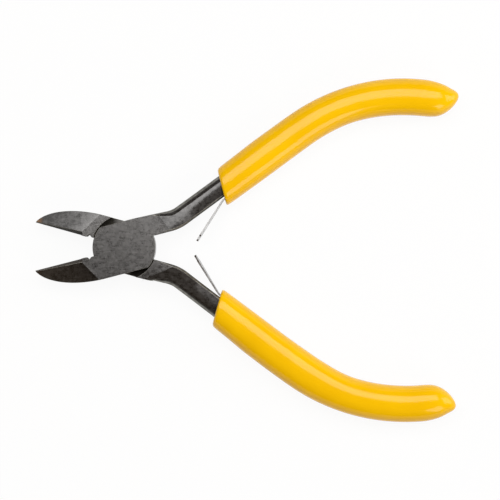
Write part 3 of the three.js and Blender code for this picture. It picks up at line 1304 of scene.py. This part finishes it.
@dataclass
class Grip:
    """A dipped vinyl sleeve: slanted mouth with a rounded lip, soft oblong section and a drip at the end."""

    side: Side
    mouth: float
    stations: tuple[GripStation, ...]
    end_shift: float
    half_height: float = 4.6
    full_width: float = 9.35
    end_fullness: float = 0.65
    power: float = 2.3
    points: int = 32
    lip_round: float = 0.9
    hollow_half: float = 2.66
    hollow_height: float = 2.52
    spring_room: float = 3.35
    spring_run: float = 12.0
    rivet_room: float = 4.15
    end_stations: tuple[EndStation, ...] = (
        EndStation(-6.5, 4.62, -4.7),
        EndStation(-5.0, 4.46, -4.6),
        EndStation(-3.8, 4.28, -4.36),
        EndStation(-2.7, 4.04, -3.98),
        EndStation(-1.7, 3.68, -3.34),
        EndStation(-0.8, 3.42, -2.5),
        EndStation(0.0, 3.2, -1.45),
        EndStation(0.5, 2.88, -0.5),
        EndStation(0.85, 2.5, 0.5),
        EndStation(1.02, 2.0, 1.2),
    )

    def ring(self, run: float, outer: float, inner: float, height: float, slant: float = 0.0) -> Ring:
        """Gives one soft oblong section.

        Args:
            run: the length along the arm's middle line.
            outer: how far the section reaches outwards.
            inner: how far it reaches inwards, below 0.
            height: its half height.
            slant: how much further along a point lies for each millimetre outwards.

        Returns:
            The points of the section.
        """
        middle = (outer + inner) / 2
        half = (outer - inner) / 2
        ring = []
        for index in range(self.points):
            angle = 2 * math.pi * index / self.points
            cosine = math.cos(angle)
            sine = math.sin(angle)
            out = middle + half * math.copysign(abs(cosine) ** (2 / self.power), cosine)
            up = height * math.copysign(abs(sine) ** (2 / self.power), sine)
            ring.append(LINE.place(run + slant * out, out, up))
        return ring

    def body_ring(self, run: float, shrink: float, slant: float) -> Ring:
        """Gives an outer section of the sleeve, slightly uneven as a dip leaves it.

        Args:
            run: the length along the arm's middle line.
            shrink: how much smaller the section is all round.
            slant: how far the section leans, as for ring.

        Returns:
            The points of the section.
        """
        before, after = self.stations[0], self.stations[1]
        for first, second in zip(self.stations, self.stations[1:]):
            if first.run <= run:
                before, after = first, second
        share = min(max((run - before.run) / (after.run - before.run), 0.0), 1.0)
        outer = before.outer + (after.outer - before.outer) * share - shrink
        inner = before.inner + (after.inner - before.inner) * share - shrink
        return self.ring(run, outer, -inner, self.half_height - shrink, slant)

    def rings(self) -> list[Ring]:
        """Gives all sections: from the end of the hollow out to the mouth, over the lip and on to the drip.

        Returns:
            The sections, in the order of the skin.
        """
        lean = math.tan(LINE.angle)
        hollow_end = 81.4
        rings = []
        for step in range(9):
            run = hollow_end + (self.mouth + self.spring_run + 1.0 - hollow_end) * step / 8
            rings.append(self.ring(run, self.hollow_half, -self.hollow_half, self.hollow_height))
        for ahead, room in (
            (self.spring_run, self.spring_room),
            (7.5, self.spring_room),
            (6.2, self.rivet_room),
            (2.0, self.rivet_room),
            (1.1, self.spring_room),
        ):
            rings.append(self.ring(self.mouth + ahead, self.hollow_half, -room, self.hollow_height, lean))
        lip = self.lip_round
        rings.append(self.ring(self.mouth + 0.3, self.hollow_half + 0.02, -self.spring_room - 0.02, 2.56, lean))
        rings.append(self.ring(self.mouth + 0.05, self.hollow_half + 0.2, -self.spring_room - 0.15, 2.75, lean))
        rings.append(self.body_ring(self.mouth, lip, lean))
        rings.append(self.body_ring(self.mouth + 0.06 * lip, 0.5 * lip, lean))
        rings.append(self.body_ring(self.mouth + 0.35 * lip, 0.14 * lip, lean))
        rings.append(self.body_ring(self.mouth + 1.0 * lip, 0.01, lean))
        straight_from = self.mouth + 3.0
        straight_to = LINE.curve_start - 1.0
        for step in range(9):
            share = step / 8
            rings.append(self.body_ring(straight_from + (straight_to - straight_from) * share, 0.0, lean * (1 - share)))
        curve_to = LINE.length - 8.2
        for step in range(1, 14):
            rings.append(self.body_ring(straight_to + (curve_to - straight_to) * step / 13, 0.0, 0.0))
        for station in self.end_stations:
            width = station.outer - station.inner
            height = self.half_height * (width / self.full_width) ** self.end_fullness
            outer = station.outer + self.end_shift
            rings.append(self.ring(LINE.length + station.past, outer, station.inner + self.end_shift, height))
        return rings

    def build(self) -> bpy.types.Object:
        """Models the grip.

        Returns:
            The piece.
        """
        piece = loft(f"{self.side.prefix}_grip_dipped", self.rings())
        subdivide(piece, 2)
        set_in_frame(piece, self.side)
        shade(piece, 60.0)
        return piece

    def dress(self, piece: bpy.types.Object, finish: bpy.types.Material) -> None:
        """Gives the grip its finish and its place in the frame.

        Args:
            piece: the grip.
            finish: its material.
        """
        piece.data.materials.append(finish)
        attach(piece, self.side.value)
        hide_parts(f"{self.side.prefix}_grip")


@dataclass
class LeafSpring:
    """A strip of spring steel: its root under the grip, its leaf bent towards the other arm's leaf."""

    side: Side
    hinge: float
    leaf_length: float
    twist: float
    thickness: float = 0.45
    width: float = 4.0
    offset: float = -3.005
    root_length: float = 10.0
    bend: float = math.radians(21.3)
    bend_radius: float = 2.5
    tongue_length: float = 1.4
    tongue_width: float = 2.4
    end_length: float = 0.45
    end_drop: float = 0.52
    step_length: float = 0.02
    edge_round: float = 0.02
    flex_length: float = 4.5

    def ring(self, spot: Vector, heading: float, width: float, roll: float) -> Ring:
        """Gives one section of the strip.

        Args:
            spot: its middle.
            heading: the direction of the strip, in radians from +X.
            width: the width of the strip there.
            roll: how far the section leans over, in radians.

        Returns:
            The four corners.
        """
        across = Vector((-math.sin(heading), math.cos(heading), 0.0))
        level = across * math.cos(roll) + FLAT * math.sin(roll)
        upright = FLAT * math.cos(roll) - across * math.sin(roll)
        half = self.thickness / 2
        corners = ((-1, -1), (1, -1), (1, 1), (-1, 1))
        return [spot + level * half * a + upright * width / 2 * b for a, b in corners]

    def rings(self) -> list[Ring]:
        """Gives the sections of the strip from the end of its root to the tip of its leaf.

        Returns:
            The sections.
        """
        back = LINE.angle + math.pi
        corner = LINE.place(self.hinge, self.offset)
        along_root = Vector((math.cos(back), math.sin(back), 0.0))
        leaf_heading = back + self.bend
        along_leaf = Vector((math.cos(leaf_heading), math.sin(leaf_heading), 0.0))
        reach = self.bend_radius * math.tan(self.bend / 2)
        rings = []
        for step in range(4):
            ahead = self.root_length + (reach - self.root_length) * step / 3
            rings.append(self.ring(corner - along_root * ahead, back, self.width, 0.0))
        middle = corner - along_root * reach + self.bend_radius * Vector((-math.sin(back), math.cos(back), 0.0))
        for step in range(1, 6):
            heading = back + self.bend * step / 6
            spot = middle - self.bend_radius * Vector((-math.sin(heading), math.cos(heading), 0.0))
            rings.append(self.ring(spot, heading, self.width, 0.0))
        shoulder = self.leaf_length - self.tongue_length
        for step in range(13):
            ahead = reach + (shoulder - self.end_length - reach) * step / 12
            roll = self.twist * ahead / self.leaf_length
            rings.append(self.ring(corner + along_leaf * ahead, leaf_heading, self.width, roll))
        for ahead, width in (
            (shoulder, self.width - self.end_drop),
            (shoulder + self.step_length, self.tongue_width),
            (self.leaf_length - self.end_length, self.tongue_width),
            (self.leaf_length, self.tongue_width - self.end_drop),
        ):
            roll = self.twist * ahead / self.leaf_length
            rings.append(self.ring(corner + along_leaf * ahead, leaf_heading, width, roll))
        return rings

    def build(self) -> bpy.types.Object:
        """Models the spring.

        Returns:
            The piece.
        """
        piece = loft(f"{self.side.prefix}_spring_strip", self.rings())
        round_edges(piece, self.edge_round, 2, 40.0)
        set_in_frame(piece, self.side)
        shade(piece, 9.0)
        return piece

    def dress(self, piece: bpy.types.Object, finish: bpy.types.Material) -> None:
        """Gives the spring its finish and bakes its transform into its mesh.

        Args:
            piece: the spring.
            finish: its material.
        """
        piece.data.materials.append(finish)
        prefix = self.side.prefix
        corner = LINE.place(self.hinge, self.offset)
        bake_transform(piece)
        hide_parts(f"{prefix}_spring_root", f"{prefix}_spring_leaf")


@dataclass
class SpringRivet:
    """The small round-headed rivet that holds a spring's root to the inner side of its arm."""

    side: Side
    run: float
    shank_radius: float = 0.8
    shank_depth: float = 3.56
    head_radius: float = 1.5
    head_height: float = 0.69
    seat: float = 3.24
    sides: int = 24

    def build(self) -> bpy.types.Object:
        """Models the rivet.

        Returns:
            The piece.
        """
        steps = [(self.seat - self.shank_depth, self.shank_radius * 0.8)]
        steps.append((self.seat - self.shank_depth + 0.15, self.shank_radius))
        steps.append((self.seat, self.shank_radius))
        steps.append((self.seat + 0.01, self.head_radius * 0.97))
        steps.append((self.seat + 0.12, self.head_radius))
        for step in range(1, 6):
            angle = math.pi / 2 * step / 5.5
            steps.append((
                self.seat + 0.12 + (self.head_height - 0.12) * math.sin(angle),
                self.head_radius * math.cos(angle),
            ))
        along = LINE.heading(self.run)
        ahead = Vector((math.cos(along), math.sin(along), 0.0))
        rings = []
        for depth, radius in steps:
            spot = LINE.place(self.run, -depth)
            rings.append([
                spot
                + ahead * radius * math.cos(2 * math.pi * index / self.sides)
                + FLAT * radius * math.sin(2 * math.pi * index / self.sides)
                for index in range(self.sides)
            ])
        piece = loft(f"{self.side.prefix}_spring_rivet_headed", rings)
        set_in_frame(piece, self.side)
        shade(piece, 40.0)
        return piece

    def dress(self, piece: bpy.types.Object, finish: bpy.types.Material) -> None:
        """Gives the rivet its finish and its place in the frame.

        Args:
            piece: the rivet.
            finish: its material.
        """
        piece.data.materials.append(finish)
        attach(piece, self.side.value)
        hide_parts(f"{self.side.prefix}_spring_rivet")


@dataclass(frozen=True)
class Softbox:
    """A square studio lamp that looks at the tool."""

    name: str
    place: tuple[float, float, float]
    width: float
    depth: float
    radiance: float
    tint: Colour = (1.0, 1.0, 1.0)

    def hang(self, target: Vector) -> None:
        """Adds the lamp.

        Args:
            target: what it looks at.
        """
        data = bpy.data.lights.new(self.name, "AREA")
        data.shape = "RECTANGLE"
        data.size = self.width
        data.size_y = self.depth
        data.color = self.tint
        data.energy = self.radiance * math.pi * self.width * self.depth
        lamp = bpy.data.objects.new(self.name, data)
        bpy.context.scene.collection.objects.link(lamp)
        lamp.location = target + Vector(self.place)
        lamp.rotation_euler = (-Vector(self.place)).to_track_quat("-Z", "Y").to_euler()


@dataclass
class Studio:
    """The white table, the lamps and the camera straight above."""

    camera_place: tuple[float, float, float] = (0.03184, -0.00035, 0.7035)
    camera_turn: float = 0.55
    lens: float = 198.66
    floor_drop: float = 0.00005
    floor_radius: float = 1.2
    rim_radius: float = 1.9
    rim_height: float = 0.3
    floor_colour: Colour = (0.88, 0.88, 0.88)
    shadow_share: float = 0.07
    room: Colour = (0.135, 0.09, 0.052)
    lamps: tuple[Softbox, ...] = field(
        default_factory=lambda: (
            Softbox("key_softbox", (-0.02, 0.235, 0.65), 0.8, 0.4, 4.02),
            Softbox("fill_softbox", (0.345, -0.435, 0.465), 0.28, 0.4, 3.6),
            Softbox("right_softbox", (0.62, 0.12, 0.36), 0.4, 0.4, 3.4),
        )
    )

    def build_floor(self, height: float) -> None:
        """Models the table, a disc whose rim sweeps up, and gives it its white.

        Args:
            height: the height of the object's underside.
        """
        bpy.ops.object.select_all(action="DESELECT")
        bpy.ops.mesh.primitive_circle_add(
            vertices=96, radius=self.floor_radius, fill_type="NGON", location=(0.0, 0.0, height - self.floor_drop)
        )
        floor = bpy.context.object
        floor.name = "table"
        with editing(floor):
            bpy.ops.mesh.select_mode(type="EDGE")
            bpy.ops.mesh.region_to_loop()
            previous = self.floor_radius
            for step in range(1, 9):
                angle = math.pi / 2 * step / 8
                radius = self.floor_radius + (self.rim_radius - self.floor_radius) * math.sin(angle)
                rise = self.rim_height * (math.cos(angle - math.pi / 8) - math.cos(angle))
                bpy.ops.mesh.extrude_edges_move(TRANSFORM_OT_translate={"value": (0.0, 0.0, rise)})
                bpy.ops.transform.resize(value=(radius / previous, radius / previous, 1.0))
                previous = radius
        shade(floor, 40.0)
        floor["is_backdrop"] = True
        floor.data.materials.append(self.floor_finish())

    def floor_finish(self) -> bpy.types.Material:
        """Writes the white of the table: plain white to the eye and in reflections, with a soft shadow.

        Returns:
            The material.
        """
        material = bpy.data.materials.new("white_table")
        material.use_nodes = True
        tree = material.node_tree
        tree.nodes.clear()
        output = tree.nodes.new("ShaderNodeOutputMaterial")
        paint = tree.nodes.new("ShaderNodeBsdfDiffuse")
        paint.inputs["Color"].default_value = (*self.floor_colour, 1.0)
        glow = tree.nodes.new("ShaderNodeEmission")
        glow.inputs["Strength"].default_value = 1.0
        rays = tree.nodes.new("ShaderNodeLightPath")
        seen = rays.outputs["Is Camera Ray"]
        for name in ("Is Glossy Ray", "Is Transmission Ray"):
            either = tree.nodes.new("ShaderNodeMath")
            either.operation = "MAXIMUM"
            tree.links.new(seen, either.inputs[0])
            tree.links.new(rays.outputs[name], either.inputs[1])
            seen = either.outputs["Value"]
        share = tree.nodes.new("ShaderNodeMath")
        share.operation = "MULTIPLY"
        share.inputs[1].default_value = 1.0 - self.shadow_share
        tree.links.new(seen, share.inputs[0])
        mix = tree.nodes.new("ShaderNodeMixShader")
        tree.links.new(share.outputs["Value"], mix.inputs["Fac"])
        tree.links.new(paint.outputs["BSDF"], mix.inputs[1])
        tree.links.new(glow.outputs["Emission"], mix.inputs[2])
        tree.links.new(mix.outputs["Shader"], output.inputs["Surface"])
        return material

    def set_room(self) -> None:
        """Makes the dark room round the table."""
        world = bpy.data.worlds.new("room")
        world.use_nodes = True
        world.node_tree.nodes["Background"].inputs["Color"].default_value = (*self.room, 1.0)
        bpy.context.scene.world = world

    def set_camera(self) -> None:
        """Hangs the camera above the tool, looking straight down."""
        data = bpy.data.cameras.new("portrait")
        data.lens = self.lens
        camera = bpy.data.objects.new("portrait", data)
        bpy.context.scene.collection.objects.link(camera)
        camera.location = self.camera_place
        camera.rotation_euler = (0.0, 0.0, math.radians(self.camera_turn))
        bpy.context.scene.camera = camera

    def build(self, lowest: float) -> None:
        """Sets up the whole studio.

        Args:
            lowest: the height of the object's underside.
        """
        bpy.context.scene.view_settings.view_transform = "Standard"
        self.build_floor(lowest)
        self.set_room()
        self.set_camera()
        target = Vector((self.camera_place[0], self.camera_place[1], 0.0))
        for lamp in self.lamps:
            lamp.hang(target)


UPPER_STATIONS = (
    GripStation(20.0, 4.3, 4.85),
    GripStation(26.0, 4.42, 4.9),
    GripStation(32.0, 4.6, 4.95),
    GripStation(46.0, 4.52, 4.88),
    GripStation(52.0, 4.57, 4.72),
    GripStation(58.0, 4.62, 4.53),
    GripStation(64.0, 4.68, 4.62),
    GripStation(72.0, 4.72, 4.75),
    GripStation(78.0, 4.66, 4.74),
)
LOWER_STATIONS = (
    GripStation(19.0, 4.5, 4.72),
    GripStation(24.0, 4.6, 4.78),
    GripStation(30.0, 4.88, 4.86),
    GripStation(38.0, 4.87, 4.93),
    GripStation(46.0, 4.7, 5.2),
    GripStation(51.0, 4.7, 5.08),
    GripStation(58.0, 4.68, 4.6),
    GripStation(72.0, 4.74, 4.6),
    GripStation(78.0, 4.8, 4.52),
)


def main() -> None:
    """Builds the tool piece by piece, then the studio round it."""
    logging.basicConfig(level=logging.INFO, format="%(message)s")
    steel = OxideSteelWithPaintedLight().make()
    # A lighter copy of the milled steel: painted light on the front lever's bevels, which face the lamps; the rear
    # lever's bevels keep the darker one as painted shade.
    ground = MilledSteelPaintedShade("ground_steel_painted_light", (0.05, 0.043, 0.036), (0.072, 0.062, 0.052)).make()
    lever_finishes = (steel, MilledSteelPaintedShade().make(), WornSteel().make(), ground)
    bright = SpringSteel().make()
    vinyl = DippedVinyl().make()
    rivet = PivotRivet()
    parts = [
        (rivet, steel),
        (
            Lever(
                Side.FRONT,
                rivet,
                lever_finishes,
                Finish.GROUND_PAINTED_LIGHT,
                ramp_outer=(10.2, 6.2),
                ramp_inner=(12.7, 0.93),
                ramp_slope=math.tan(math.radians(9.2)),
                ridge_from=3.5,
                ridge_end=0.4,
                ridge_fade=4.2,
                band_width=0.82,
                corner_round=0.2,
            ),
            steel,
        ),
        (
            Lever(
                Side.REAR,
                rivet,
                lever_finishes,
                Finish.MILLED_PAINTED_SHADE,
                ridge_end=0.0,
                outer_slope=math.tan(math.radians(10.5)),
                inner_slope=math.tan(math.radians(-1.0)),
                slim_outer=0.2,
                slim_inner=0.0,
            ),
            steel,
        ),
        (Grip(Side.FRONT, 20.52, UPPER_STATIONS, 0.0), vinyl),
        (Grip(Side.REAR, 19.42, LOWER_STATIONS, 0.18), vinyl),
        (LeafSpring(Side.FRONT, 18.91, 12.4, math.radians(2.5)), bright),
        (LeafSpring(Side.REAR, 17.78, 11.6, math.radians(5.0)), bright),
        (SpringRivet(Side.FRONT, 24.4), bright),
        (SpringRivet(Side.REAR, 23.3), bright),
    ]
    for part, finish in parts:
        piece = part.build()
        part.dress(piece, finish)
        log.info("%s: %d faces", piece.name, len(piece.data.polygons))
    visual_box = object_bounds()
    Studio().build(visual_box[0][2])


if __name__ == "__main__":
    main()
